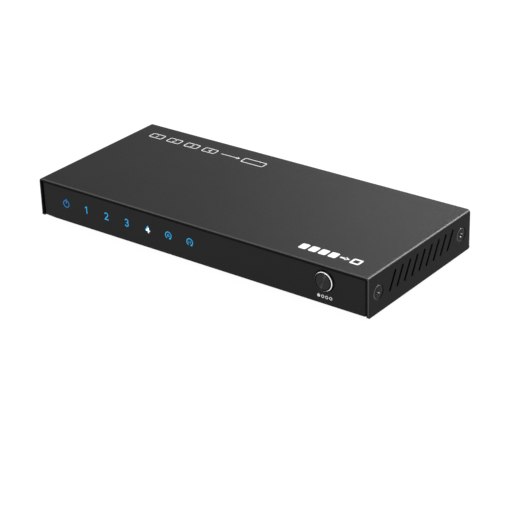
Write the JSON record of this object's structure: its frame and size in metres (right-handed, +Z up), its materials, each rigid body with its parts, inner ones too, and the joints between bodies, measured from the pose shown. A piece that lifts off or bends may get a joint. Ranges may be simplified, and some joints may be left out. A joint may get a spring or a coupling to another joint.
{
  "type": "video switch box",
  "caption": "Low black sheet-metal box that switches several video inputs to an output, with lit front marks, a round select button, slanted side vents and rear sockets.",
  "frame": {"origin": "under the middle of the case, on the surface that the feet stand on", "axes": "+X to the right and +Y to the rear seen from the front, +Z up"},
  "size_m": [0.16, 0.0708, 0.018],
  "materials": {
    "black_coat": "fine matt powder coat",
    "black_screw": "black oxide",
    "overlay_film": "satin film",
    "spun_metal": "spun, dark anodised, bright cut edge",
    "foot_rubber": "matt rubber",
    "board_laminate": "solder mask",
    "zinc_steel": "zinc plate",
    "nickel_sheet": "nickel plate",
    "gold_plate": "gold flash",
    "black_plastic": "moulded",
    "clear_plastic": "clear moulded",
    "led_plastic": "indicator",
    "ir_plastic": "dark filter plastic",
    "chip_epoxy": "moulded epoxy",
    "pad_rubber": "thermal pad",
    "sink_aluminium": "extruded",
    "ferrite": "ferrite",
    "can_aluminium": "drawn can"
  },
  "bodies": {
    "case": {"top_cover": "black_coat", "base_tray": "black_coat", "cover_screws": "black_screw", "front_overlay": "overlay_film", "main_board": "board_laminate", "board_posts": "zinc_steel", "board_screws": "zinc_steel", "light_pipe": "clear_plastic", "switch_housing": "black_plastic", "switch_frame": "nickel_sheet", "switch_dome": "nickel_sheet", "power_jack_housing": "black_plastic", "power_jack_pin": "nickel_sheet", "power_jack_spring": "nickel_sheet", "ir_receiver": "ir_plastic", "ir_receiver_leads": "nickel_sheet", "switch_chip": "chip_epoxy", "thermal_pad": "pad_rubber", "heatsink": "sink_aluminium", "controller_chip": "chip_epoxy", "crystal": "nickel_sheet", "regulator": "chip_epoxy", "inductor": "ferrite", "bulk_capacitors": "can_aluminium", "port_chips": "chip_epoxy", "foot_front_left": "foot_rubber", "foot_front_right": "foot_rubber", "foot_rear_left": "foot_rubber", "foot_rear_right": "foot_rubber", "led_power": "led_plastic", "led_input_1": "led_plastic", "led_input_2": "led_plastic", "led_input_3": "led_plastic", "led_input_4": "led_plastic", "led_auto": "led_plastic", "led_mode": "led_plastic", "input_1_shell": "nickel_sheet", "input_1_insulator": "black_plastic", "input_1_contacts": "gold_plate", "input_2_shell": "nickel_sheet", "input_2_insulator": "black_plastic", "input_2_contacts": "gold_plate", "input_3_shell": "nickel_sheet", "input_3_insulator": "black_plastic", "input_3_contacts": "gold_plate", "input_4_shell": "nickel_sheet", "input_4_insulator": "black_plastic", "input_4_contacts": "gold_plate", "output_shell": "nickel_sheet", "output_insulator": "black_plastic", "output_contacts": "gold_plate"},
    "button": {"button_cap": "spun_metal", "switch_plunger": "black_plastic"}
  },
  "joints": [
    {"name": "button_press", "type": "slide", "parent": "case", "child": "button", "axis": [0, 1, 0], "range_m": [0, 0.0005], "stiffness_N_per_m": 1000, "springref_m": -0.001, "deforming": ["switch_dome"]}
  ]
}
